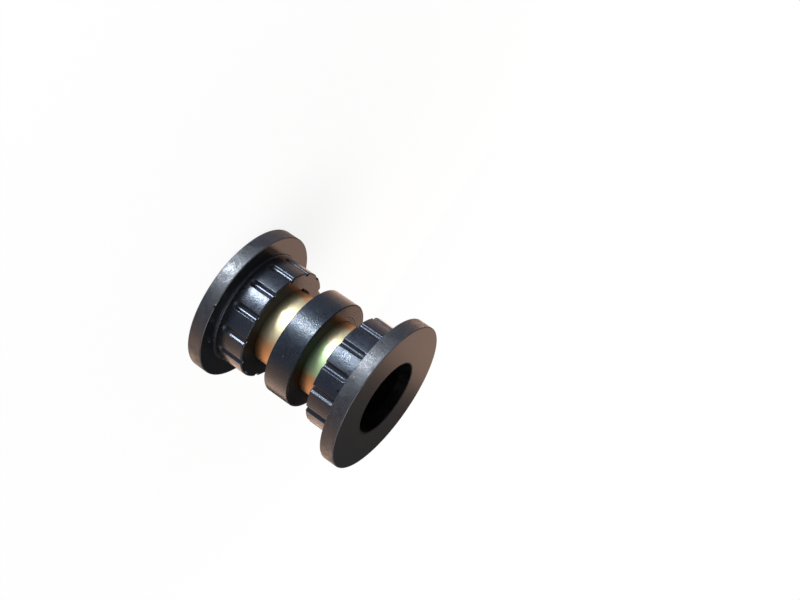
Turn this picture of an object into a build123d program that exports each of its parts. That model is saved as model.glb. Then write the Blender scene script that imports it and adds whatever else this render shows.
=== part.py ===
from build123d import *
import os

# A rubber metal bush for a suspension eye: two identical flanged bushes pushed onto one steel sleeve,
# with a spacer ring round the middle of the sleeve. The axis is +Z and the part stands on the lower
# flange. All lengths are in millimetres.

# Flanged bush: the flange
flange_diameter = 60.0
flange_thickness = 6.0
flange_edge_radius = 0.4

# Flanged bush: the lip at the root of the hub, which seals against the end of the eye
lip_width = 0.6
lip_height = 0.6
lip_edge_radius = 0.25

# Flanged bush: the hub, which is pressed into the eye
hub_diameter = 44.8
hub_length = 12.9
hub_edge_radius = 0.6

# Flanged bush: the grooves along the hub, which give the rubber room to bulge
groove_count = 14
groove_radius = 1.5
groove_depth = 1.1
plain_band = 1.6

# Flanged bush: the bore, with a shoulder that stops the sleeve
shoulder_width = 0.25
bore_edge_radius = 0.5
seat_depth = 6.3

# Steel sleeve
sleeve_diameter = 30.0
sleeve_wall = 3.0
sleeve_chamfer = 0.5

# Spacer ring, which sits a little above the middle of the gap
ring_diameter = 43.8
ring_width = 10.8
ring_edge_radius = 0.5
ring_offset = 0.7

# Assembly: the gap between the two hubs, and the turn of the upper bush about the axis in degrees
hub_gap = 30.2
upper_bush_turn = -1.5

# How far a cutter runs past the face that it opens
overcut = 1.0

# Lengths and stations that follow from the sizes above
bush_length = flange_thickness + hub_length
overall_length = 2 * bush_length + hub_gap
lip_top = flange_thickness + lip_height
groove_start = lip_top + plain_band
shoulder_height = bush_length - seat_depth
sleeve_length = hub_gap + 2 * seat_depth
ring_height = (overall_length - ring_width) / 2 + ring_offset

# The first groove lies half a pitch from +X, in degrees, so a groove faces the front, -Y
first_groove = 180 / groove_count


def section(corners, radii):
    """A closed section in the XZ plane through corners given as (radius, height), each rounded by its own radius."""
    face = make_face(Plane.XZ * Polyline(*corners, close=True))
    for (radius, height), rounding in zip(corners, radii):
        if rounding > 0:
            corner = face.vertices().sort_by_distance((radius, 0, height))[0]
            face = fillet(corner, rounding)
    return face


def groove_cutter():
    """A round-nosed rod along +Z whose tip is at the origin."""
    length = bush_length - groove_start + overcut
    rod = Pos(0, 0, groove_radius) * extrude(Circle(groove_radius), length - groove_radius)
    return rod + Pos(0, 0, groove_radius) * Sphere(groove_radius)


def flanged_bush():
    """The flange, lip and grooved hub in one moulding, standing on the flange's outer face."""
    flange, hub, seat = flange_diameter / 2, hub_diameter / 2, sleeve_diameter / 2
    lip, bore = hub + lip_width, seat - shoulder_width
    corners = [
        (bore, 0),
        (flange, 0),
        (flange, flange_thickness),
        (lip, flange_thickness),
        (lip, lip_top),
        (hub, lip_top),
        (hub, bush_length),
        (seat, bush_length),
        (seat, shoulder_height),
        (bore, shoulder_height),
    ]
    flange_edge = min(flange_edge_radius, flange_thickness / 3)
    lip_edge = min(lip_edge_radius, lip_height / 2, lip_width / 2)
    radii = [bore_edge_radius, flange_edge, flange_edge, 0, lip_edge, 0, hub_edge_radius, 0, 0, 0]
    body = revolve(section(corners, radii), Axis.Z)
    cutter_distance = hub - groove_depth + groove_radius
    places = Pos(0, 0, groove_start) * PolarLocations(cutter_distance, groove_count, first_groove)
    return body - [place * groove_cutter() for place in places]


def inner_sleeve():
    """The steel tube, from the shoulder in the lower bush to the shoulder in the upper one."""
    outer = sleeve_diameter / 2
    tube = extrude(Circle(outer) - Circle(outer - sleeve_wall), sleeve_length)
    ends = tube.edges().filter_by(GeomType.CIRCLE)
    return Pos(0, 0, shoulder_height) * chamfer(ends, min(sleeve_chamfer, sleeve_wall / 3))


def spacer_ring():
    """The plain ring, whose bore grips the sleeve."""
    outer, inner = ring_diameter / 2, sleeve_diameter / 2
    ring = extrude(Circle(outer) - Circle(inner), ring_width)
    outer_edges = ring.edges().filter_by(GeomType.CIRCLE).group_by(SortBy.RADIUS)[-1]
    return Pos(0, 0, ring_height) * fillet(outer_edges, min(ring_edge_radius, ring_width / 3))


bush = flanged_bush()
turned_over = Pos(0, 0, overall_length) * Rot(0, 0, upper_bush_turn) * Rot(180, 0, 0)

parts = {
    "lower_flanged_bush": bush,
    "upper_flanged_bush": turned_over * bush,
    "inner_sleeve": inner_sleeve(),
    "spacer_ring": spacer_ring(),
}

os.makedirs("parts", exist_ok=True)
for name, shape in parts.items():
    export_step(shape, f"parts/{name}.step")
    print(f"{name}: {shape.volume:.0f} mm3")
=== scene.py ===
# %% [markdown]
# A rubber metal bush
#
# The object is a suspension bush: two flanged rubber mouldings with grooved hubs, pushed onto one
# zinc-plated steel sleeve, with a black ring round the middle of the sleeve. Everything on it is round, so
# the lesson is about spinning a section, pressing grooves into it by rule, and finishing black rubber so
# that it doesn't look like a black hole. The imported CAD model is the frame: it says where every piece is.

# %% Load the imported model
from math import cos, pi, radians, sin, tan

import bpy
from mathutils import Matrix, Vector


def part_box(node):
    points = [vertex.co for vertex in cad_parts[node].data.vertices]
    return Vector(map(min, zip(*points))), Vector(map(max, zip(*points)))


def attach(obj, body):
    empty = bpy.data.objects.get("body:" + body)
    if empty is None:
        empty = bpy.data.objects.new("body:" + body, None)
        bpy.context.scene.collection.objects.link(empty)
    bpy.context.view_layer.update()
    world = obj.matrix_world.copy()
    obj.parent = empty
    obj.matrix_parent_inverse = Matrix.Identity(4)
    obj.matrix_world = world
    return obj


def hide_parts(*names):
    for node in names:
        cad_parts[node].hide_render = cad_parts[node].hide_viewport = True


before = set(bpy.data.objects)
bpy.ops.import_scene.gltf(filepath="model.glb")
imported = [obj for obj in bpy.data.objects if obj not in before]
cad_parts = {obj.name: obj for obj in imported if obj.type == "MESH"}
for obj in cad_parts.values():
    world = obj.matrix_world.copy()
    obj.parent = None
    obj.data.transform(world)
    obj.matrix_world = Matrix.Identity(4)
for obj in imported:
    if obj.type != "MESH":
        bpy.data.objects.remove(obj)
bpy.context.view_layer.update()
MM = 0.001
print("nodes:", sorted(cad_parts))

# %% [markdown]
# Sizes
#
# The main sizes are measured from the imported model, so that the dressed pieces stay where the CAD says. The
# small forms, such as the grooves and the rounding of the edges, are written out here in millimetres.

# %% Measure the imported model
bush_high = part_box("lower_flanged_bush")[1] / MM
sleeve_low, sleeve_high = [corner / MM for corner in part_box("inner_sleeve")]
ring_low, ring_high = [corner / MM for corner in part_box("spacer_ring")]
flange_radius = bush_high.x
bush_length = bush_high.z
sleeve_radius = sleeve_high.x
ring_radius = ring_high.x
overall_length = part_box("upper_flanged_bush")[1].z / MM
print("flange radius", round(flange_radius, 2), "bush length", round(bush_length, 2))
print("sleeve radius", round(sleeve_radius, 2), "ring radius", round(ring_radius, 2))

# %% The moulding's own sizes, in millimetres
flange_thickness = 6.0
flange_edge = 0.4
lip_radius = 23.0
lip_top = 6.6
lip_edge = 0.25
hub_radius = 22.4
hub_edge = 0.6
bore_radius = 14.75
bore_edge = 0.3
shoulder_height = 12.6
groove_count = 14
groove_radius = 1.5
groove_depth = 1.1
groove_start = 8.2
groove_softness = 0.3
first_groove = 180 / groove_count
upper_bush_turn = -1.5
small_edge = 0.12

# %% [markdown]
# Helpers
#
# Every node tree below is built with one function, which adds a node, sets its properties and fills its
# sockets, by name or in their order, with values or with links. In order, a Map Range node takes the value,
# the two ends of its range, and what the ends become. Colours are written as sRGB hex values, as a paint
# chart has them, and one function turns them to the linear values that the shaders work in.

# %% Add a node to a tree
def add(tree, kind, settings=None, sockets=None):
    """Adds a node. A socket takes a value, a socket, or a node, which stands for its first live output."""
    node = tree.nodes.new(kind)
    for name, value in (settings or {}).items():
        setattr(node, name, value)
    if isinstance(sockets, list):
        sockets = dict(enumerate(sockets))
    for place, value in (sockets or {}).items():
        socket = node.inputs[place]
        if isinstance(value, bpy.types.Node):
            value = next(output for output in value.outputs if output.enabled)
        if isinstance(value, bpy.types.NodeSocket):
            tree.links.new(value, socket)
        else:
            socket.default_value = value
    return node


eased = {"interpolation_type": "SMOOTHSTEP"}

# %% Turn a hex colour to linear
def linear(code, level=1.0):
    """The linear RGBA of an sRGB hex value such as "#c8b48c", times a level."""
    parts = [int(code[place:place + 2], 16) / 255 for place in (1, 3, 5)]
    lit = [part / 12.92 if part <= 0.04045 else ((part + 0.055) / 1.055) ** 2.4 for part in parts]
    return (*[value * level for value in lit], 1.0)


print("mid grey in linear:", [round(value, 3) for value in linear("#808080")])

# %% Start a material, and put an object in the scene
def new_material(name):
    """A material with an empty node tree, and the tree."""
    material = bpy.data.materials.new(name)
    material.use_nodes = True
    material.node_tree.nodes.clear()
    return material, material.node_tree


def new_object(name, data):
    """An object for this data, in the scene."""
    made = bpy.data.objects.new(name, data)
    bpy.context.scene.collection.objects.link(made)
    return made


# %% [markdown]
# The camera
#
# The camera stands where the photograph was taken from. Its place, its direction and its roll were fitted
# to the flanges' ellipses, so the part that stands upright here lies across the picture.

# %% Place the camera
camera_place = Vector((-0.06750, -0.48029, 0.21852))
camera_ahead = Vector((0.06962, 0.94287, -0.32582)).normalized()
camera_right = Vector((-0.53274, 0.31128, 0.78695)).normalized()
camera_up = camera_right.cross(camera_ahead)

camera = new_object("camera", bpy.data.cameras.new("camera"))
camera.data.lens = 63.88
camera.data.sensor_width = 36.0
camera.data.clip_start = 0.01
camera.matrix_world = Matrix.Translation(camera_place) @ Matrix(
    (camera_right, camera_up, -camera_ahead)
).transposed().to_4x4()
bpy.context.scene.camera = camera
print("camera up:", [round(value, 3) for value in camera_up])

# %% [markdown]
# The light
#
# Black rubber shows almost nothing of its own colour, so what the eye sees is what it mirrors: a cool
# window in front, the white table below, and a warm wall close behind. The window and the table are drawn
# in the world, by direction, so that every piece shows the same band of light. The wall is a lamp of real
# size near the part, because the flanges' flat faces mirror its edge as a soft step from tan to black.

# %% Where the light comes from, and how strong it is
table_front = Vector((-0.507, -0.862, 0.0))
window_direction = Vector((-0.467, -0.719, -0.515)).normalized()
window_inner, window_outer = radians(2.0), radians(10.0)
window_light = linear("#e7f1ff", 57.0)
halo_inner, halo_outer = radians(8), radians(30)
halo_light = linear("#e7f1ff", 1.8)
table_before = linear("#d4e0ff", 0.34)
table_beside = linear("#ffdcca", 0.5)
table_behind = linear("#ffdac4", 1.4)
walls_before = linear("#e8efff", 0.15)
walls_behind = linear("#ffffff", 0.03)
ceiling_light = linear("#ffffff", 0.18)

# %% Where each light turns into the next, as cosines of the angle to the front, the top and the window
behind_turn = (0.0, -0.9)
behind_rise = 2.0
table_turn = (-0.05, 0.03)
walls_turn = (-0.2, 0.7)
ceiling_turn = (0.45, 0.95)
horizon = (-0.03, 0.06)
window_turn = (cos(window_outer), cos(window_inner))
halo_turn = (cos(halo_outer), cos(halo_inner))
print("cosines of the window's edge:", [round(value, 4) for value in window_turn])
print("cosines of the halo's edge:", [round(value, 4) for value in halo_turn])

# %% Start the world, and measure each direction in it
world = bpy.data.worlds.new("table and window")
bpy.context.scene.world = world
world.use_nodes = True
sky = world.node_tree
sky.nodes.clear()
ray = add(sky, "ShaderNodeTexCoord").outputs["Generated"]
height = add(sky, "ShaderNodeSeparateXYZ", sockets={"Vector": ray}).outputs["Z"]
to_front = add(
    sky, "ShaderNodeVectorMath", {"operation": "DOT_PRODUCT"},
    [ray, table_front],
).outputs["Value"]
to_window = add(
    sky, "ShaderNodeVectorMath", {"operation": "DOT_PRODUCT"},
    [ray, window_direction],
).outputs["Value"]
print("nodes that measure:", len(sky.nodes))


# %% Draw the world by direction
def blended(first, second, level, bounds):
    """The first colour, which turns softly into the second one as the level goes from bound to bound."""
    share = add(sky, "ShaderNodeMapRange", eased, [level, *bounds])
    return add(sky, "ShaderNodeMix", {"data_type": "RGBA"}, {0: share, 6: first, 7: second})


behind_reach = add(sky, "ShaderNodeMapRange", {}, [to_front, *behind_turn])
behind_share = add(sky, "ShaderNodeMath", {"operation": "POWER"}, [behind_reach, behind_rise])
far_table = add(
    sky, "ShaderNodeMix", {"data_type": "RGBA"},
    {0: behind_share, 6: table_beside, 7: table_behind},
)
table = blended(far_table, table_before, to_front, table_turn)
walls = blended(walls_behind, walls_before, to_front, walls_turn)
room = blended(walls, ceiling_light, height, ceiling_turn)
around = blended(table, room, height, horizon)
haloed = blended(around, halo_light, to_window, halo_turn)
lit_around = blended(haloed, window_light, to_window, window_turn)

from_camera = add(sky, "ShaderNodeLightPath").outputs["Is Camera Ray"]
seen = add(
    sky, "ShaderNodeMix", {"data_type": "RGBA"},
    {0: from_camera, 6: lit_around, 7: linear("#ffffff")},
)
background = add(sky, "ShaderNodeBackground", sockets={"Color": seen, "Strength": 1.0})
add(sky, "ShaderNodeOutputWorld", sockets={"Surface": background})
print("world nodes:", len(sky.nodes))

# %% The warm wall behind
front = Vector((-0.139, -0.990, 0.0))
side = Vector((0.990, -0.139, 0.0))
wall_width, wall_height = 0.20, 0.17
wall_distance = 0.13
wall_edge = -0.013
wall_radiance = 1.0
wall = bpy.data.lights.new("warm_wall", "AREA")
wall.shape = "RECTANGLE"
wall.size, wall.size_y = wall_width, wall_height
wall.color = linear("#ffd0b6")[:3]
wall.energy = wall_radiance * pi * wall_width * wall_height
wall_lamp = new_object("warm_wall", wall)
wall_place = -front * wall_distance + side * (wall_edge - wall_width / 2) + Vector((0, 0, wall_height / 2))
wall_facing = (-front).to_track_quat("Z", "Y").to_matrix().to_4x4()
wall_lamp.matrix_world = Matrix.Translation(wall_place) @ wall_facing
wall_lamp.visible_camera = False
print("wall lamp:", round(wall.energy, 3), "W")

# %% A soft lamp overhead, for the shadow
lit_place = Vector((0, 0, 0.03))
overhead = bpy.data.lights.new("overhead", "AREA")
overhead.shape = "DISK"
overhead.size = 0.5
overhead.energy = 6.5
overhead.specular_factor = 0.0
overhead_lamp = new_object("overhead", overhead)
overhead_lamp.location = (0.25, -0.15, 0.8)
to_part = lit_place - overhead_lamp.location
overhead_lamp.rotation_euler = to_part.to_track_quat("-Z", "Y").to_euler()
overhead_lamp.visible_camera = False
print("overhead lamp:", overhead.energy, "W")

# %% [markdown]
# The floor
#
# The photograph's background is plain white, so the floor sends plain white to the camera and keeps a part
# of a matt white paint, in which the part's own soft shadow shows. Mirror rays pass it and find the white
# table that the world draws, so rubber and zinc show that background too. Two patches of the floor do meet
# mirror rays: the one that shuts the bore's lower end, and a dark one behind the part, which meets nothing
# else. The ring and the sleeve mirror the dark one at their lower edges. It is a painted shadow, a sheet
# that glows faintly, and stands for a shadow on the table in the photograph, which is a guess: no light
# here casts one at that place.

# %% Lay a flat sheet
def flat_sheet(name, corners, drop, finish):
    """A flat sheet with these corners, in mm, which lies a little below the part's foot."""
    mesh = bpy.data.meshes.new(name)
    mesh.from_pydata([(x * MM, y * MM, 0) for x, y in corners], [], [tuple(range(len(corners)))])
    mesh.materials.append(finish)
    sheet = new_object(name, mesh)
    sheet.location.z = -drop * MM
    return sheet


# %% Lay the floor
floor_half = 4000.0
floor_drop, patch_drop = 0.1, 0.05
glow_near, glow_far = 0.06, 0.22
least_glow = 0.88
corner_signs = ((-1, -1), (1, -1), (1, 1), (-1, 1))
table_white = linear("#f4f4f4")

paint, tree = new_material("matt_white_table")
matt = add(tree, "ShaderNodeBsdfDiffuse", sockets={"Color": table_white})
glow = add(tree, "ShaderNodeEmission", sockets={"Color": linear("#ffffff"), "Strength": 1.0})
floor_place = add(tree, "ShaderNodeTexCoord").outputs["Object"]
from_part = add(tree, "ShaderNodeVectorMath", {"operation": "LENGTH"}, [floor_place]).outputs["Value"]
glow_share = add(tree, "ShaderNodeMapRange", eased, [from_part, glow_near, glow_far, least_glow, 1.0])
blend = add(tree, "ShaderNodeMixShader", sockets={0: glow_share, 1: matt, 2: glow})
add(tree, "ShaderNodeOutputMaterial", sockets={"Surface": blend})

floor_corners = [(across * floor_half, along * floor_half) for across, along in corner_signs]
floor = flat_sheet("floor", floor_corners, floor_drop, paint)
floor.visible_glossy = False
floor.visible_diffuse = False
floor.visible_shadow = False
print("floor:", 2 * floor_half * MM, "m square")

# %% Shut the bore's lower end
stopper_radius = 25.0
stopper_sides = 48
shade, tree = new_material("table_in_the_dark")
matt = add(tree, "ShaderNodeBsdfDiffuse", sockets={"Color": table_white})
add(tree, "ShaderNodeOutputMaterial", sockets={"Surface": matt})
stopper_turns = [2 * pi * side_count / stopper_sides for side_count in range(stopper_sides)]
stopper_corners = [(stopper_radius * cos(turn), stopper_radius * sin(turn)) for turn in stopper_turns]
stopper = flat_sheet("stopper", stopper_corners, patch_drop, shade)
print("stopper:", 2 * stopper_radius, "mm across")

# %% Paint a shadow on the table behind, for mirror rays alone
shadow_start = Vector((21.0, -6.0))
shadow_near, shadow_far = 54.0, 138.0
shadow_rays = [Vector((sin(radians(turn)), cos(radians(turn)))) for turn in (-6, 12, 30, 46)]
shadow_corners = [shadow_start + ray * shadow_near for ray in shadow_rays]
shadow_corners += [shadow_start + ray * shadow_far for ray in reversed(shadow_rays)]
painted_shadow_finish, tree = new_material("painted_table_shadow")
# Painted shadow: a dark sheet that glows faintly, which only mirror rays meet
dim = add(tree, "ShaderNodeEmission", sockets={"Color": linear("#ffe3d2"), "Strength": 0.06})
add(tree, "ShaderNodeOutputMaterial", sockets={"Surface": dim})
shadow = flat_sheet("shadow", shadow_corners, patch_drop, painted_shadow_finish)
shadow.visible_camera = False
shadow.visible_diffuse = False
shadow.visible_shadow = False
print("shadow from", shadow_near, "to", shadow_far, "mm behind")

# %% [markdown]
# Finish of the moulded rubber
#
# The flanged bushes are compression-moulded in black rubber. The mould's flanges were left satin and its
# hub was polished, so the hub mirrors the window sharply while the flange spreads it. Bloom and handling
# leave cloudy patches a few millimetres wide, a fine grain, some pale dust and a few small pits. The pits,
# which have no dent, and the depth of the bore are kept dark as painted shade. All of it is drawn by rule
# from the place on the part, in millimetres, so that it has its real size and stays put.

# %% Patterns of the rubber, in waves per millimetre, and its marks, in millimetres
cloud_scale, mottle_scale, fine_scale = 0.17, 0.75, 2.1
turning_scale = 1.6
dust_scale, dust_rarity = 0.33, 0.85
dust_inner, dust_outer = 0.04, 0.09
chip_inner, chip_outer = 0.2, 0.34
pit_inner, pit_outer = 0.3, 0.55
chip_beside_nick = (3.2, -29.83, 5.8)
chip_on_upper_rim = (-3.88, -29.75, 63.63)
nick_in_lower_rim = (3.98, -29.74, 5.8)
pit_in_upper_hub = (4.39, -21.97, 58.75)
for pattern, scale in (("clouds", cloud_scale), ("mottle", mottle_scale), ("grain", fine_scale)):
    print(pattern, "about", round(1 / scale, 1), "mm wide")
print("dust in one cell of", round(1 / (1 - dust_rarity), 1), "each", round(1 / dust_scale, 1), "mm wide")


# %% Masks for marks
def dust(tree, millimetres):
    """Pale specks: a small disc in the middle of some cells."""
    cell = add(
        tree, "ShaderNodeTexVoronoi",
        sockets={"Vector": millimetres, "Scale": dust_scale, "Randomness": 1.0},
    )
    speck = add(tree, "ShaderNodeMapRange", {}, [cell.outputs["Distance"], dust_outer, dust_inner])
    chosen = add(
        tree, "ShaderNodeMath", {"operation": "GREATER_THAN"},
        [cell.outputs["Color"], dust_rarity],
    )
    return add(tree, "ShaderNodeMath", {"operation": "MULTIPLY"}, [speck, chosen])


def with_spots(tree, mask, millimetres, places, inner, outer):
    """The mask with a round spot at each place, full up to the inner radius and gone past the outer one."""
    for place in places:
        away = add(
            tree, "ShaderNodeVectorMath", {"operation": "DISTANCE"},
            [millimetres, place],
        ).outputs["Value"]
        spot = add(tree, "ShaderNodeMapRange", {}, [away, outer, inner])
        mask = add(tree, "ShaderNodeMath", {"operation": "MAXIMUM"}, [mask, spot])
    return mask


# %% Masks for kinds of surface, by the normal's height: 0 on the rims and 1 on the flat faces
wall_end, edge_start = 0.1, 0.35
edge_end, face_start = 0.85, 0.985
flat_start, flat_full = 0.96, 0.99


def slopes(tree, normal):
    """Masks of the rounded edges, which wear, and of the flat faces square to the axis."""
    axes = add(tree, "ShaderNodeSeparateXYZ", sockets={"Vector": normal})
    level = add(tree, "ShaderNodeMath", {"operation": "ABSOLUTE"}, [axes.outputs["Z"]])
    off_wall = add(tree, "ShaderNodeMapRange", {}, [level, wall_end, edge_start])
    off_face = add(tree, "ShaderNodeMapRange", {}, [level, face_start, edge_end])
    worn_edge = add(tree, "ShaderNodeMath", {"operation": "MULTIPLY"}, [off_wall, off_face])
    on_face = add(tree, "ShaderNodeMapRange", {}, [level, flat_start, flat_full])
    return worn_edge, on_face


# %% The colour of black rubber
black_deep, black_cloudy = linear("#050506"), linear("#0f0f11")
bloom_grey, dust_pale = linear("#4a4b52"), linear("#8c8479")
bloom_low, bloom_high = 0.5, 0.68
# The bloom starts outside the bore, so the bore stays darker: painted shade
bloom_start, bloom_full = sleeve_radius + 1, sleeve_radius + 2


def rubber_colour(tree, cloud, fine, radius, on_face, pale, bloom):
    """Near black, with pale dust and a grey bloom off the flat faces; the bore gets none, as painted shade.
    """
    black = add(tree, "ShaderNodeMix", {"data_type": "RGBA"}, {0: cloud, 6: black_deep, 7: black_cloudy})
    bloom_out_of_shaded_bore = add(tree, "ShaderNodeMapRange", {}, [radius, bloom_start, bloom_full, 0.0, bloom])
    off_face = add(tree, "ShaderNodeMath", {"operation": "SUBTRACT"}, [1.0, on_face])
    speckled = add(tree, "ShaderNodeMapRange", {}, [fine, bloom_low, bloom_high])
    where = add(tree, "ShaderNodeMath", {"operation": "MULTIPLY"}, [bloom_out_of_shaded_bore, off_face])
    bloomed = add(tree, "ShaderNodeMath", {"operation": "MULTIPLY"}, [speckled, where])
    greyed = add(tree, "ShaderNodeMix", {"data_type": "RGBA"}, {0: bloomed, 6: black, 7: bloom_grey})
    return add(tree, "ShaderNodeMix", {"data_type": "RGBA"}, {0: pale, 6: greyed, 7: dust_pale})


# %% The roughness of black rubber
noise_low, noise_high = 0.38, 0.62
finer_share = 0.6
face_polish = 0.08
edge_wear = 0.3
marks_roughness, nose_roughness, groove_roughness = 0.9, 0.6, 0.2


def rubber_roughness(tree, noises, roughness, spread, worn_edge, on_face, matt, pressed, nose):
    """Cloudy and speckled, calm on flat faces, rough on worn edges and marks, glossy in the grooves."""
    spreads = (spread, spread * finer_share, spread * finer_share)
    middles = (roughness, 0.0, 0.0)
    patches, spots, specks = [
        add(
            tree, "ShaderNodeMapRange", {},
            [level, noise_low, noise_high, middle - reach, middle + reach],
        )
        for level, middle, reach in zip(noises, middles, spreads)
    ]
    blotchy = add(tree, "ShaderNodeMath", {"operation": "ADD"}, [patches, spots])
    speckled = add(tree, "ShaderNodeMath", {"operation": "ADD"}, [blotchy, specks])
    on_land = add(
        tree, "ShaderNodeMix", {"data_type": "FLOAT"},
        {0: on_face, 2: speckled, 3: roughness - face_polish},
    )
    on_edge = add(tree, "ShaderNodeMath", {"operation": "MULTIPLY_ADD"}, [worn_edge, edge_wear, on_land])
    on_marks = add(
        tree, "ShaderNodeMix", {"data_type": "FLOAT"},
        {0: matt, 2: on_edge, 3: marks_roughness},
    )
    at_nose = add(
        tree, "ShaderNodeMix", {"data_type": "FLOAT"},
        {0: nose, 2: on_marks, 3: nose_roughness},
    )
    return add(
        tree, "ShaderNodeMix", {"data_type": "FLOAT"},
        {0: pressed, 2: at_nose, 3: groove_roughness},
    )


# %% The glossy skin of polished rubber, and its relief
face_thinning = 0.8
calming = 6.0
least_relief = 0.08


def skin_weight(tree, skin, worn_edge, on_face, nose):
    """How much of the mould's gloss is left: little on flat faces, none on worn edges and groove ends."""
    thinned = add(
        tree, "ShaderNodeMath", {"operation": "MULTIPLY_ADD"},
        [on_face, face_thinning, worn_edge],
    )
    lost = add(tree, "ShaderNodeMath", {"operation": "MAXIMUM", "use_clamp": True}, [nose, thinned])
    return add(tree, "ShaderNodeMath", {"operation": "MULTIPLY_ADD"}, [lost, -skin, skin])


def relief(tree, mottle, fine, radius, on_face, pressed, waviness, grain, turned):
    """Waves and grain, calm in the grooves and on flat faces, and on the ring the marks of a lathe tool."""
    in_groove = add(
        tree, "ShaderNodeMath", {"operation": "MULTIPLY", "use_clamp": True},
        [pressed, calming],
    )
    quiet = add(tree, "ShaderNodeMath", {"operation": "MAXIMUM"}, [in_groove, on_face])
    calm = add(tree, "ShaderNodeMapRange", {}, [quiet, 0.0, 1.0, 1.0, least_relief])
    wavy = add(
        tree, "ShaderNodeBump",
        sockets={"Height": mottle, "Distance": waviness * MM, "Strength": calm},
    )
    grained = add(
        tree, "ShaderNodeBump",
        sockets={"Height": fine, "Distance": grain * MM, "Strength": calm, "Normal": wavy},
    )
    if turned == 0:
        return grained
    marks = add(
        tree, "ShaderNodeTexNoise", {"noise_dimensions": "1D"},
        {"W": radius, "Scale": turning_scale, "Detail": 3.0},
    ).outputs["Fac"]
    return add(
        tree, "ShaderNodeBump",
        sockets={"Height": marks, "Distance": turned * MM, "Normal": grained},
    )


# %% Make a black rubber
# Painted shade in the bore: inside these radii the rubber turns mostly a near-black metal
bore_shade_start, bore_shade_full = sleeve_radius + 0.6, sleeve_radius + 0.1
bore_shade_level = 0.75
noise_roughness = 0.6
skin_roughness, skin_density = 0.09, 1.5


def black_rubber(
    name, roughness, spread, waviness, grain, density, gleam,
    tint="#ffffff", skin=0.0, turned=0.0, bloom=0.0, chips=(), pits=()
):
    """A black rubber. The density is its IOR, and waviness, grain and turning marks are in millimetres."""
    material, tree = new_material(name)
    coordinates = add(tree, "ShaderNodeTexCoord")
    millimetres = add(
        tree, "ShaderNodeVectorMath", {"operation": "SCALE"},
        {0: coordinates.outputs["Object"], "Scale": 1 / MM},
    ).outputs["Vector"]
    flat = add(tree, "ShaderNodeVectorMath", {"operation": "MULTIPLY"}, [millimetres, (1, 1, 0)])
    radius = add(tree, "ShaderNodeVectorMath", {"operation": "LENGTH"}, [flat]).outputs["Value"]
    noises = [
        add(
            tree, "ShaderNodeTexNoise", {},
            {"Vector": millimetres, "Scale": scale, "Detail": detail, "Roughness": noise_roughness},
        ).outputs["Fac"]
        for scale, detail in ((cloud_scale, 4.0), (mottle_scale, 3.0), (fine_scale, 2.0))
    ]
    cloud, mottle, fine = noises
    pressed = add(tree, "ShaderNodeAttribute", {"attribute_name": "pressed"}).outputs["Fac"]
    nose = add(tree, "ShaderNodeAttribute", {"attribute_name": "nose"}).outputs["Fac"]
    worn_edge, on_face = slopes(tree, coordinates.outputs["Normal"])

    pale = with_spots(tree, dust(tree, millimetres), millimetres, chips, chip_inner, chip_outer)
    matt = with_spots(tree, pale, millimetres, pits, pit_inner, pit_outer)
    # Painted shade: a metal this black mirrors almost nothing, so it keeps the depth of the bore and the
    # pits, which have no dent, dark
    bore_painted_shade = add(tree, "ShaderNodeMapRange", {}, [radius, bore_shade_start, bore_shade_full, 0.0, bore_shade_level])
    painted_shade = with_spots(tree, bore_painted_shade, millimetres, pits, pit_inner, pit_outer)

    colour = rubber_colour(tree, cloud, fine, radius, on_face, pale, bloom)
    rough = rubber_roughness(tree, noises, roughness, spread, worn_edge, on_face, matt, pressed, nose)
    bumps = relief(tree, mottle, fine, radius, on_face, pressed, waviness, grain, turned)
    surface = add(
        tree, "ShaderNodeBsdfPrincipled",
        sockets={
            "Base Color": colour, "Metallic": painted_shade, "Roughness": rough, "Normal": bumps,
            "IOR": density, "Specular IOR Level": gleam, "Specular Tint": linear(tint),
            "Coat Weight": skin_weight(tree, skin, worn_edge, on_face, nose),
            "Coat Roughness": skin_roughness, "Coat IOR": skin_density, "Coat Normal": bumps,
        },
    )
    add(tree, "ShaderNodeOutputMaterial", sockets={"Surface": surface})
    print("material", name, "with", len(tree.nodes), "nodes")
    return material


# %% The three black rubbers
satin_rubber = black_rubber(
    "satin_moulded_rubber", roughness=0.46, spread=0.10, waviness=0.08, grain=0.06,
    density=1.65, gleam=0.95, bloom=0.4,
    chips=(chip_beside_nick, chip_on_upper_rim), pits=(nick_in_lower_rim,)
)
polished_rubber = black_rubber(
    "polished_moulded_rubber", roughness=0.34, spread=0.08, waviness=0.04, grain=0.055,
    density=1.5, gleam=0.95, tint="#e2eeff", skin=0.6, bloom=0.2,
    pits=(pit_in_upper_hub,)
)
ring_rubber = black_rubber(
    "polished_ring_rubber", roughness=0.37, spread=0.09, waviness=0.03, grain=0.07,
    density=1.5, gleam=0.6, tint="#d7ecff", skin=0.9, turned=0.15, bloom=0.2
)

# %% [markdown]
# Finish of the sleeve
#
# The sleeve is a cut length of steel tube with a yellow passivated zinc plating. The passivate is a film
# thin enough to colour by interference, so it drifts from straw to green and to copper over a centimetre.
# Where copper and green lie is also tied to the sides that face the camera and turn from it: a painted
# reflection colour, for the hues the film shows at grazing and straight-on views. It is a metal, so the
# colour is in the mirror image and the diffuse part is nothing.

# %% Colours of the film, and the sides where it shows them: partly painted reflection colour by viewing angle
straw, green, copper = linear("#efdcab"), linear("#d3edac"), linear("#f2bd86")
inner_brown_painted_shade = linear("#3d3526")
film_scale = 0.12
film_drift, green_film_drift = 0.44, 0.2
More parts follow.
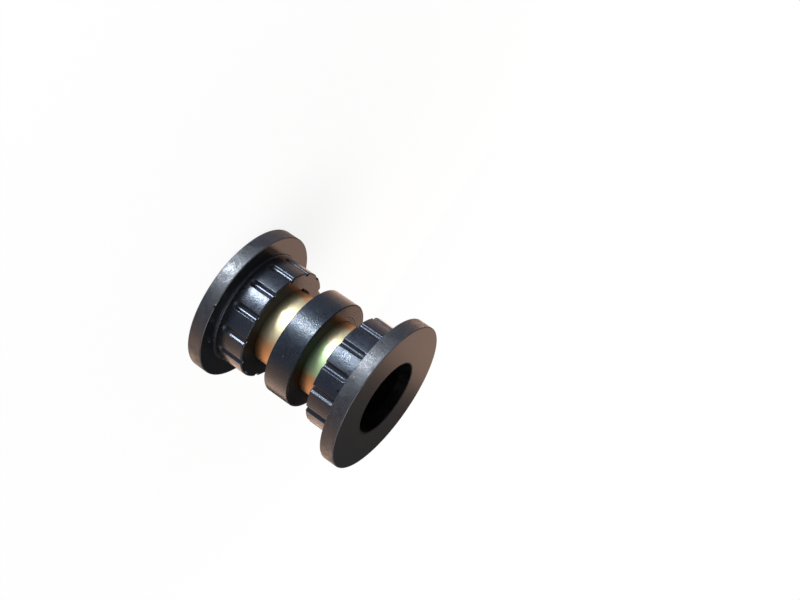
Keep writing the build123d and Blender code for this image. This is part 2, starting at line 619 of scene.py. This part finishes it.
# Painted reflection colour: copper on the sides turned from the camera and green facing it stand in for the
# film's hues at grazing and straight-on views
painted_tint_side, painted_green_side = (-0.309, -0.951, 0.0), (0.0, -1.0, 0.0)
copper_turn = (0.83, 0.70)
back_turn = (-0.45, 0.05)
back_copper = 0.25
green_turn = (0.93, 1.04)
green_heights = (27.0, 42.0)
most_green = 0.9
inner_skin = (sleeve_radius - 0.6, sleeve_radius - 0.9)
print("green from", green_heights[0], "to", green_heights[1], "mm up")

# %% Where the film shows straw, green or copper: its own drift, and painted reflection colour by side
zinc, tree = new_material("yellow_passivated_zinc")
place = add(tree, "ShaderNodeTexCoord").outputs["Object"]
millimetres = add(
    tree, "ShaderNodeVectorMath", {"operation": "SCALE"},
    {0: place, "Scale": 1 / MM},
).outputs["Vector"]
height = add(tree, "ShaderNodeSeparateXYZ", sockets={"Vector": millimetres}).outputs["Z"]
flat = add(tree, "ShaderNodeVectorMath", {"operation": "MULTIPLY"}, [millimetres, (1, 1, 0)])
radius = add(tree, "ShaderNodeVectorMath", {"operation": "LENGTH"}, [flat]).outputs["Value"]
outward = add(tree, "ShaderNodeVectorMath", {"operation": "NORMALIZE"}, [flat])
film = add(
    tree, "ShaderNodeTexNoise", {},
    {"Vector": millimetres, "Scale": film_scale, "Detail": 3.0, "Roughness": 0.5},
).outputs["Fac"]

drift = add(tree, "ShaderNodeMath", {"operation": "MULTIPLY_ADD"}, [film, film_drift, -film_drift / 2])
to_painted_tint_side = add(
    tree, "ShaderNodeVectorMath", {"operation": "DOT_PRODUCT"},
    [outward, painted_tint_side],
).outputs["Value"]
film_drift_and_painted_side = add(tree, "ShaderNodeMath", {"operation": "ADD"}, [to_painted_tint_side, drift])
copper_away_from_tint_side = add(tree, "ShaderNodeMapRange", eased, [film_drift_and_painted_side, *copper_turn])
less_copper_behind = add(tree, "ShaderNodeMapRange", eased, [film_drift_and_painted_side, *back_turn, back_copper, 1.0])
copper_film_and_painted_tint = add(tree, "ShaderNodeMath", {"operation": "MULTIPLY"}, [copper_away_from_tint_side, less_copper_behind])
to_green = add(
    tree, "ShaderNodeVectorMath", {"operation": "DOT_PRODUCT"},
    [outward, painted_green_side],
).outputs["Value"]
green_drifted = add(
    tree, "ShaderNodeMath", {"operation": "MULTIPLY_ADD"},
    [film, green_film_drift, to_green],
)
green_front = add(tree, "ShaderNodeMapRange", eased, [green_drifted, *green_turn])
green_height = add(tree, "ShaderNodeMapRange", eased, [height, *green_heights, 0.0, most_green])
green_film_and_painted_tint = add(tree, "ShaderNodeMath", {"operation": "MULTIPLY"}, [green_front, green_height])
inner_dull_and_shade_share = add(tree, "ShaderNodeMapRange", {}, [radius, *inner_skin])

# %% Yellow passivated zinc
scratch_scale = 0.9
scratch_stretch = (1.0, 1.0, 6.0)
scratch_depth = 0.01
scratch_low, scratch_high = 0.3, 0.7
polish_low, polish_high = 0.40, 0.47
bore_roughness = 0.7
brushing = 0.6

straw_to_green = add(tree, "ShaderNodeMix", {"data_type": "RGBA"}, {0: green_film_and_painted_tint, 6: straw, 7: green})
plated = add(
    tree, "ShaderNodeMix", {"data_type": "RGBA"},
    {0: copper_film_and_painted_tint, 6: straw_to_green, 7: copper},
)
# Inside the tube the colour turns dark brown: partly a duller inner skin, partly painted shade
film_colour = add(
    tree, "ShaderNodeMix", {"data_type": "RGBA"},
    {0: inner_dull_and_shade_share, 6: plated, 7: inner_brown_painted_shade},
)
stretched = add(tree, "ShaderNodeMapping", sockets={"Vector": millimetres, "Scale": scratch_stretch})
scratches = add(
    tree, "ShaderNodeTexNoise", {},
    {"Vector": stretched, "Scale": scratch_scale, "Detail": 4.0, "Roughness": 0.5},
).outputs["Fac"]
polish = add(
    tree, "ShaderNodeMapRange", {},
    [scratches, scratch_low, scratch_high, polish_low, polish_high],
)
dull_inside = add(
    tree, "ShaderNodeMix", {"data_type": "FLOAT"},
    {0: inner_dull_and_shade_share, 2: polish, 3: bore_roughness},
)
drawn = add(tree, "ShaderNodeBump", sockets={"Height": scratches, "Distance": scratch_depth * MM})
around_tube = add(tree, "ShaderNodeTangent", {"direction_type": "RADIAL", "axis": "Z"})
surface = add(
    tree, "ShaderNodeBsdfPrincipled",
    sockets={
        "Base Color": film_colour, "Metallic": 1.0, "Roughness": dull_inside,
        "Normal": drawn, "Anisotropic": brushing, "Tangent": around_tube,
    },
)
add(tree, "ShaderNodeOutputMaterial", sockets={"Surface": surface})
print("material", zinc.name, "with", len(tree.nodes), "nodes")

# %% [markdown]
# Sections
#
# Each piece is a solid of revolution, so it starts as half of its own cut face: a closed ring of points in
# radius and height. Rounded corners are what catches the light on a moulding, so no corner is left sharp.
# A long run has a guard point near each end, which keeps the corner's smooth shading from spreading.

# %% Round the corners of a section
arc_steps = 6
guard = 0.1
guarded_run = 6 * guard


def section_points(stations):
    """A closed section. A station is a corner's radius, height and rounding, and the steps to the next."""
    corners = [Vector(station[:2]) for station in stations]
    arcs = []
    for place, corner in enumerate(corners):
        rounding = stations[place][2]
        if rounding == 0:
            arcs.append([corner])
            continue
        back = (corners[place - 1] - corner).normalized()
        on = (corners[(place + 1) % len(corners)] - corner).normalized()
        half = back.angle(on) / 2
        reach = rounding / tan(half)
        centre = corner + (back + on).normalized() * rounding / sin(half)
        first, last = corner + back * reach - centre, corner + on * reach - centre
        sweep = pi - 2 * half
        arc = []
        for step in range(arc_steps + 1):
            swung = first * sin(sweep * (1 - step / arc_steps)) + last * sin(sweep * step / arc_steps)
            arc.append(centre + swung / sin(sweep))
        arcs.append(arc)
    points = []
    for place, arc in enumerate(arcs):
        points.extend(arc)
        begin, end = arc[-1], arcs[(place + 1) % len(arcs)][0]
        length = (end - begin).length
        steps = stations[place][3]
        shares = {step / steps for step in range(1, steps)}
        if length > guarded_run:
            shares |= {guard / length, 1 - guard / length}
        points.extend(begin.lerp(end, share) for share in sorted(shares))
    return points


# %% Draw the bush's section
before_groove = 0.4
end_face_rim = 0.2
drawn_in = 2.2
bush_stations = [
    (bore_radius, 0, bore_edge, 5),
    (flange_radius, 0, flange_edge, 2),
    (flange_radius, flange_thickness, flange_edge, 3),
    (lip_radius, flange_thickness, small_edge, 1),
    (lip_radius, lip_top, lip_edge, 1),
    (hub_radius, lip_top, small_edge, 2),
    (hub_radius, groove_start - before_groove, 0, 7),
    (hub_radius, groove_start + groove_radius, 0, 4),
    (hub_radius, bush_length, hub_edge, 1),
    (hub_radius - hub_edge - end_face_rim, bush_length, 0, 4),
    (hub_radius - hub_edge - drawn_in, bush_length, 0, 2),
    (sleeve_radius, bush_length, small_edge, 2),
    (sleeve_radius, shoulder_height, small_edge, 1),
    (bore_radius, shoulder_height, small_edge, 3),
]
print("points in the bush's section:", len(section_points(bush_stations)))

# %% Draw the sections of the sleeve and the ring
sleeve_wall = 3.0
sleeve_chamfer = 0.5
sleeve_edge = 0.1
sleeve_inner = sleeve_radius - sleeve_wall
sleeve_stations = [
    (sleeve_inner + sleeve_chamfer, sleeve_low.z, sleeve_edge, 1),
    (sleeve_radius - sleeve_chamfer, sleeve_low.z, sleeve_edge, 1),
    (sleeve_radius, sleeve_low.z + sleeve_chamfer, sleeve_edge, 16),
    (sleeve_radius, sleeve_high.z - sleeve_chamfer, sleeve_edge, 1),
    (sleeve_radius - sleeve_chamfer, sleeve_high.z, sleeve_edge, 1),
    (sleeve_inner + sleeve_chamfer, sleeve_high.z, sleeve_edge, 1),
    (sleeve_inner, sleeve_high.z - sleeve_chamfer, sleeve_edge, 10),
    (sleeve_inner, sleeve_low.z + sleeve_chamfer, sleeve_edge, 1),
]
ring_edge = 0.5
ring_stations = [
    (sleeve_radius, ring_low.z, small_edge, 4),
    (ring_radius, ring_low.z, ring_edge, 6),
    (ring_radius, ring_high.z, ring_edge, 4),
    (sleeve_radius, ring_high.z, small_edge, 4),
]
print("points in the sleeve's section:", len(section_points(sleeve_stations)))
print("points in the ring's section:", len(section_points(ring_stations)))

# %% [markdown]
# The lathe
#
# The turner's lathe is one Geometry Nodes tree here: the section is swept round a small circle, the
# spindle, and comes out as one closed skin with no seam. The number of steps round a bush is a multiple of
# its groove count, so every groove is divided in the same way.

# %% Start a tree, run it on an object, keep the plain result
def new_tree(name, inputs):
    """A tree that takes geometry and named inputs of these kinds, and gives geometry. Also its inputs."""
    tree = bpy.data.node_groups.new(name, "GeometryNodeTree")
    tree.interface.new_socket("Geometry", in_out="INPUT", socket_type="NodeSocketGeometry")
    for label, kind in inputs.items():
        tree.interface.new_socket(label, in_out="INPUT", socket_type="NodeSocket" + kind)
    tree.interface.new_socket("Geometry", in_out="OUTPUT", socket_type="NodeSocketGeometry")
    return tree, add(tree, "NodeGroupInput").outputs


def with_tree(piece, tree, values):
    """Adds the tree as a modifier and sets its named inputs by their identifiers."""
    modifier = piece.modifiers.new(tree.name, "NODES")
    modifier.node_group = tree
    for socket in tree.interface.items_tree:
        if socket.in_out == "INPUT" and socket.name in values:
            modifier[socket.identifier] = values[socket.name]


def plain(piece):
    """Swaps the piece's mesh for the evaluated one and removes its modifiers."""
    made = bpy.data.meshes.new_from_object(piece.evaluated_get(bpy.context.evaluated_depsgraph_get()))
    piece.modifiers.clear()
    piece.data = made
    return piece


# %% Build the lathe tree
spindle_radius = 1.0

lathe, given = new_tree("lathe", {"Steps round": "Int", "Spindle radius": "Float", "Finish": "Material"})
profile = add(lathe, "GeometryNodeMeshToCurve", sockets={"Mesh": given["Geometry"]})
spindle = add(
    lathe, "GeometryNodeCurvePrimitiveCircle",
    sockets={"Resolution": given["Steps round"], "Radius": given["Spindle radius"]},
)
level = add(lathe, "GeometryNodeSetCurveNormal", {"mode": "Z_UP"}, {"Curve": spindle.outputs["Curve"]})
spun = add(lathe, "GeometryNodeCurveToMesh", sockets={"Curve": level, "Profile Curve": profile})
soft = add(lathe, "GeometryNodeSetShadeSmooth", sockets={"Geometry": spun, "Shade Smooth": True})
whole = add(lathe, "GeometryNodeRealizeInstances", sockets={"Geometry": soft})
finished = add(lathe, "GeometryNodeSetMaterial", sockets={"Geometry": whole, "Material": given["Finish"]})
add(lathe, "NodeGroupOutput", sockets={"Geometry": finished})
print("lathe nodes:", len(lathe.nodes))


# %% Put a section on the lathe, and report on what comes off
def spin(name, stations, steps_round, finish):
    """An object that holds only the section's edges, drawn from the spindle out, with the lathe on it."""
    points = section_points(stations)[::-1]
    edges = [(place, (place + 1) % len(points)) for place in range(len(points))]
    mesh = bpy.data.meshes.new(name)
    mesh.from_pydata([((point.x - spindle_radius) * MM, -point.y * MM, 0) for point in points], edges, [])
    piece = new_object(name, mesh)
    sizes = {"Steps round": steps_round, "Spindle radius": spindle_radius * MM, "Finish": finish}
    with_tree(piece, lathe, sizes)
    return piece


def report(piece):
    """Prints a piece's size and its volume, which is negative if its faces point inwards."""
    mesh = piece.data
    mesh.calc_loop_triangles()
    volume = sum(
        mesh.vertices[a].co.dot(mesh.vertices[b].co.cross(mesh.vertices[c].co)) / 6
        for a, b, c in (triangle.vertices for triangle in mesh.loop_triangles)
    )
    heights = [vertex.co.z / MM for vertex in mesh.vertices]
    print(
        f"{piece.name}: {len(mesh.loop_triangles)} triangles, {volume / MM ** 3:.0f} mm3, "
        f"from {min(heights):.2f} to {max(heights):.2f} mm"
    )


# %% [markdown]
# The grooves
#
# The mould presses round-bottomed grooves into the hub, which run from a rounded nose to the open end and
# give the rubber room to bulge. Cutting them with booleans would leave sharp edges that no moulding has. So
# a second tree moves the skin in towards the axis by rule: for each point it works out how far it lies from
# the middle of the nearest groove, how deep a round cutter would be there, and eases the two surfaces into
# each other. The same rule draws the end face in, so the grooves run out through it.

# %% Start the groove tree
press_sizes = (
    "Hub radius", "Groove radius", "Groove depth", "Groove start", "Softness", "Count", "First groove"
)
press, given = new_tree("press_grooves", {**dict.fromkeys(press_sizes, "Float"), "Land finish": "Material"})
hub, cutter, groove = given["Hub radius"], given["Groove radius"], given["Groove depth"]
position = add(press, "GeometryNodeInputPosition")
axes = add(press, "ShaderNodeSeparateXYZ", sockets={"Vector": position})
x, y, z = (axes.outputs[axis] for axis in "XYZ")
outward = add(press, "ShaderNodeVectorMath", {"operation": "MULTIPLY"}, [position, (1, 1, 0)])
radius = add(press, "ShaderNodeVectorMath", {"operation": "LENGTH"}, [outward]).outputs["Value"]

# %% The angle to the middle of the nearest groove
turn = add(press, "ShaderNodeMath", {"operation": "ARCTAN2"}, [y, x])
from_first = add(press, "ShaderNodeMath", {"operation": "SUBTRACT"}, [turn, given["First groove"]])
half_pitch = add(press, "ShaderNodeMath", {"operation": "DIVIDE"}, [pi, given["Count"]])
minus_half = add(press, "ShaderNodeMath", {"operation": "MULTIPLY"}, [half_pitch, -1.0])
angle = add(press, "ShaderNodeMath", {"operation": "WRAP"}, [from_first, half_pitch, minus_half])

# %% The distance from the middle line of that groove
groove_floor = add(press, "ShaderNodeMath", {"operation": "SUBTRACT"}, [hub, groove])
centre = add(press, "ShaderNodeMath", {"operation": "ADD"}, [groove_floor, cutter])
sine = add(press, "ShaderNodeMath", {"operation": "SINE"}, [angle])
across = add(press, "ShaderNodeMath", {"operation": "MULTIPLY"}, [sine, centre])
nose = add(press, "ShaderNodeMath", {"operation": "ADD"}, [given["Groove start"], cutter])
to_nose = add(press, "ShaderNodeMath", {"operation": "SUBTRACT"}, [nose, z])
along = add(press, "ShaderNodeMath", {"operation": "MAXIMUM"}, [to_nose, 0.0])
sideways = add(press, "ShaderNodeCombineXYZ", sockets={"X": across, "Y": along})
away = add(press, "ShaderNodeVectorMath", {"operation": "LENGTH"}, [sideways]).outputs["Value"]

# %% The depth of the round cutter there
cutter_squared = add(press, "ShaderNodeMath", {"operation": "MULTIPLY"}, [cutter, cutter])
away_squared = add(press, "ShaderNodeMath", {"operation": "MULTIPLY"}, [away, away])
left = add(press, "ShaderNodeMath", {"operation": "SUBTRACT"}, [cutter_squared, away_squared])
under_cutter = add(press, "ShaderNodeMath", {"operation": "MAXIMUM"}, [left, 0.0])
sag = add(press, "ShaderNodeMath", {"operation": "SQRT"}, [under_cutter])
cosine = add(press, "ShaderNodeMath", {"operation": "COSINE"}, [angle])
centre_out = add(press, "ShaderNodeMath", {"operation": "MULTIPLY"}, [cosine, centre])
to_centre = add(press, "ShaderNodeMath", {"operation": "SUBTRACT"}, [hub, centre_out])
cut = add(press, "ShaderNodeMath", {"operation": "ADD"}, [to_centre, sag])

# %% Ease the groove into the land beside it
lift = add(press, "ShaderNodeMath", {"operation": "SUBTRACT"}, [centre, hub])
lift_squared = add(press, "ShaderNodeMath", {"operation": "MULTIPLY"}, [lift, lift])
mouth_squared = add(press, "ShaderNodeMath", {"operation": "SUBTRACT"}, [cutter_squared, lift_squared])
mouth = add(press, "ShaderNodeMath", {"operation": "SQRT"}, [mouth_squared])
inside = add(press, "ShaderNodeMath", {"operation": "LESS_THAN"}, [away, mouth])
beside = add(press, "ShaderNodeMath", {"operation": "SUBTRACT"}, [mouth, away])
raw_depth = add(press, "ShaderNodeMix", {"data_type": "FLOAT"}, {0: inside, 2: beside, 3: cut})
depth = add(press, "ShaderNodeMath", {"operation": "SMOOTH_MAX"}, [raw_depth, 0.0, given["Softness"]])

# %% Draw the end face in too, less towards the sleeve
band_rim = 0.1
band_outer = add(press, "ShaderNodeMath", {"operation": "SUBTRACT"}, [hub, (hub_edge + band_rim) * MM])
band_inner = add(press, "ShaderNodeMath", {"operation": "SUBTRACT"}, [hub, (hub_edge + drawn_in) * MM])
band_share = add(press, "ShaderNodeMapRange", {}, [radius, band_inner, band_outer])
inward = add(press, "ShaderNodeMath", {"operation": "MULTIPLY"}, [depth, band_share])
minus_inward = add(press, "ShaderNodeMath", {"operation": "MULTIPLY"}, [inward, -1.0])
outward_unit = add(press, "ShaderNodeVectorMath", {"operation": "NORMALIZE"}, [outward])
shift = add(
    press, "ShaderNodeVectorMath", {"operation": "SCALE"},
    {0: outward_unit, "Scale": minus_inward},
).outputs["Vector"]

# %% Note where a groove runs and where it ends, for the finish
nose_length = 0.8
how_deep = add(press, "ShaderNodeMath", {"operation": "DIVIDE"}, [inward, groove])
nose_end = add(press, "ShaderNodeMath", {"operation": "ADD"}, [nose, nose_length * MM])
past_nose = add(press, "ShaderNodeMapRange", {}, [z, nose, nose_end])
in_run = add(press, "ShaderNodeMath", {"operation": "MULTIPLY"}, [how_deep, past_nose])
in_nose = add(press, "ShaderNodeMath", {"operation": "SUBTRACT"}, [how_deep, in_run])
noted = given["Geometry"]
for label, level in (("pressed", in_run), ("nose", in_nose)):
    noted = add(
        press, "GeometryNodeStoreNamedAttribute", {"data_type": "FLOAT", "domain": "POINT"},
        {"Geometry": noted, "Name": label, "Value": level},
    )

# %% Move the skin, and give the hub its own finish
finish_line = flange_thickness - 0.03
pressed = add(press, "GeometryNodeSetPosition", sockets={"Geometry": noted, "Offset": shift})
whole = add(press, "GeometryNodeRealizeInstances", sockets={"Geometry": pressed})
face_middle = add(press, "GeometryNodeInputPosition")
face_height = add(press, "ShaderNodeSeparateXYZ", sockets={"Vector": face_middle}).outputs["Z"]
on_hub = add(press, "ShaderNodeMath", {"operation": "GREATER_THAN"}, [face_height, finish_line * MM])
dressed = add(
    press, "GeometryNodeSetMaterial",
    sockets={"Geometry": whole, "Selection": on_hub, "Material": given["Land finish"]},
)
add(press, "NodeGroupOutput", sockets={"Geometry": dressed})
print("groove nodes:", len(press.nodes))

# %% [markdown]
# The two flanged bushes
#
# Both are the same moulding. The lower one stands on its flange, and the upper one is a copy, turned over
# and, as they were pushed on by hand, turned a degree and a half about the axis.

# %% Spin and press the lower bush
steps_per_groove = 48
lower_bush = spin("flanged_bush_lower", bush_stations, groove_count * steps_per_groove, satin_rubber)
with_tree(lower_bush, press, {
    "Hub radius": hub_radius * MM,
    "Groove radius": groove_radius * MM,
    "Groove depth": groove_depth * MM,
    "Groove start": groove_start * MM,
    "Softness": groove_softness * MM,
    "Count": float(groove_count),
    "First groove": radians(first_groove),
    "Land finish": polished_rubber,
})
report(plain(lower_bush))

# %% Turn a copy over for the upper bush
turned_over = (
    Matrix.Translation((0, 0, overall_length * MM))
    @ Matrix.Rotation(radians(upper_bush_turn), 4, "Z")
    @ Matrix.Rotation(pi, 4, "X")
)
upper_mesh = lower_bush.data.copy()
upper_mesh.transform(turned_over)
upper_bush = new_object("flanged_bush_upper", upper_mesh)
report(upper_bush)

# %% [markdown]
# The sleeve and the ring
#
# The real sleeve is a cut tube and the real ring is moulded and turned. The same lathe makes both here,
# from their own sections, because nothing on them leaves the round.

# %% Spin the sleeve and the ring
sleeve_steps, ring_steps = 360, 480
steel_sleeve = plain(spin("steel_sleeve", sleeve_stations, sleeve_steps, zinc))
report(steel_sleeve)
black_ring = plain(spin("black_ring", ring_stations, ring_steps, ring_rubber))
report(black_ring)

# %% [markdown]
# Torn flash
#
# Where the sleeve was pushed through the hub's mouth it sheared off a thin skin of rubber, and a few crumbs
# of it still sit on the seam, at the side. Crumbs are many and alike, so a tree scatters them: points at
# uneven steps along the seam, a small lump of random size and turn on each, and noise to tear their shape.

# %% Set points along the seam
crumb_sizes = ("Seam radius", "Seam height", "First angle", "Last angle", "Smallest", "Largest")
crumble, given = new_tree(
    "torn_flash",
    {**dict.fromkeys(crumb_sizes, "Float"), "Count": "Int", "Seed": "Int", "Finish": "Material"},
)
seed = given["Seed"]
chance = add(
    crumble, "FunctionNodeRandomValue", {"data_type": "FLOAT"},
    {2: 0.0, 3: 1.0, "Seed": seed},
).outputs[1]
index = add(crumble, "GeometryNodeInputIndex")
order = add(crumble, "ShaderNodeMath", {"operation": "ADD"}, [index, chance])
way = add(crumble, "ShaderNodeMath", {"operation": "DIVIDE"}, [order, given["Count"]])
angle = add(crumble, "ShaderNodeMapRange", {}, [way, 0.0, 1.0, given["First angle"], given["Last angle"]])
along_x = add(crumble, "ShaderNodeMath", {"operation": "COSINE"}, [angle])
along_y = add(crumble, "ShaderNodeMath", {"operation": "SINE"}, [angle])
round_seam = add(crumble, "ShaderNodeCombineXYZ", sockets={"X": along_x, "Y": along_y})
at_radius = add(
    crumble, "ShaderNodeVectorMath", {"operation": "SCALE"},
    {0: round_seam, "Scale": given["Seam radius"]},
).outputs["Vector"]
at_height = add(crumble, "ShaderNodeCombineXYZ", sockets={"Z": given["Seam height"]})
seat = add(crumble, "ShaderNodeVectorMath", {"operation": "ADD"}, [at_radius, at_height])
points = add(crumble, "GeometryNodePoints", sockets={"Count": given["Count"], "Position": seat})

# %% Put a torn lump on each point
most_turn = 6.2
tear_scale = 2200.0
tear_depth = 0.5
noise_middle = (0.5, 0.5, 0.5)

lump = add(crumble, "GeometryNodeMeshIcoSphere", sockets={"Radius": 1.0, "Subdivisions": 3})
across = add(
    crumble, "FunctionNodeRandomValue", {"data_type": "FLOAT"},
    {2: given["Smallest"], 3: given["Largest"], "Seed": seed},
).outputs[1]
tumble = add(
    crumble, "FunctionNodeRandomValue", {"data_type": "FLOAT_VECTOR"},
    {0: (0, 0, 0), 1: (most_turn, most_turn, most_turn), "Seed": seed},
).outputs[0]
scattered = add(
    crumble, "GeometryNodeInstanceOnPoints",
    sockets={"Points": points, "Instance": lump.outputs["Mesh"], "Rotation": tumble, "Scale": across},
)
single = add(crumble, "GeometryNodeRealizeInstances", sockets={"Geometry": scattered})
lump_place = add(crumble, "GeometryNodeInputPosition")
torn = add(
    crumble, "ShaderNodeTexNoise",
    sockets={"Vector": lump_place, "Scale": tear_scale, "Detail": 2.0},
).outputs["Color"]
off_middle = add(crumble, "ShaderNodeVectorMath", {"operation": "SUBTRACT"}, [torn, noise_middle])
tear = add(
    crumble, "ShaderNodeVectorMath", {"operation": "SCALE"},
    {0: off_middle, "Scale": tear_depth * MM},
).outputs["Vector"]
ragged = add(crumble, "GeometryNodeSetPosition", sockets={"Geometry": single, "Offset": tear})
dressed = add(
    crumble, "GeometryNodeSetMaterial",
    sockets={"Geometry": ragged, "Material": given["Finish"]},
)
add(crumble, "NodeGroupOutput", sockets={"Geometry": dressed})
print("crumb nodes:", len(crumble.nodes))

# %% Scatter the crumbs on the lower hub's mouth
torn_flash = new_object("torn_flash", bpy.data.meshes.new("torn_flash"))
with_tree(torn_flash, crumble, {
    "Seam radius": (sleeve_radius + 0.5) * MM,
    "Seam height": (bush_length + 0.15) * MM,
    "First angle": radians(157),
    "Last angle": radians(183),
    "Smallest": 0.3 * MM,
    "Largest": 0.52 * MM,
    "Count": 9,
    "Seed": 5,
    "Finish": satin_rubber,
})
report(plain(torn_flash))

# %% [markdown]
# Handing over
#
# Every piece stands for its CAD node and rides on the one body of the part. The crumbs stand for none.

# %% Replace the CAD nodes
stands_for = {
    "lower_flanged_bush": (lower_bush, "moulded_rubber"),
    "upper_flanged_bush": (upper_bush, "moulded_rubber"),
    "inner_sleeve": (steel_sleeve, "zinc_plated_steel"),
    "spacer_ring": (black_ring, "ring_rubber"),
}
for node, (piece, slot) in stands_for.items():
    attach(piece, "root")
    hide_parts(node)
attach(torn_flash, "root")
print("pieces:", [piece.name for piece, slot in stands_for.values()] + [torn_flash.name])

bpy.context.scene.view_settings.view_transform = "Standard"
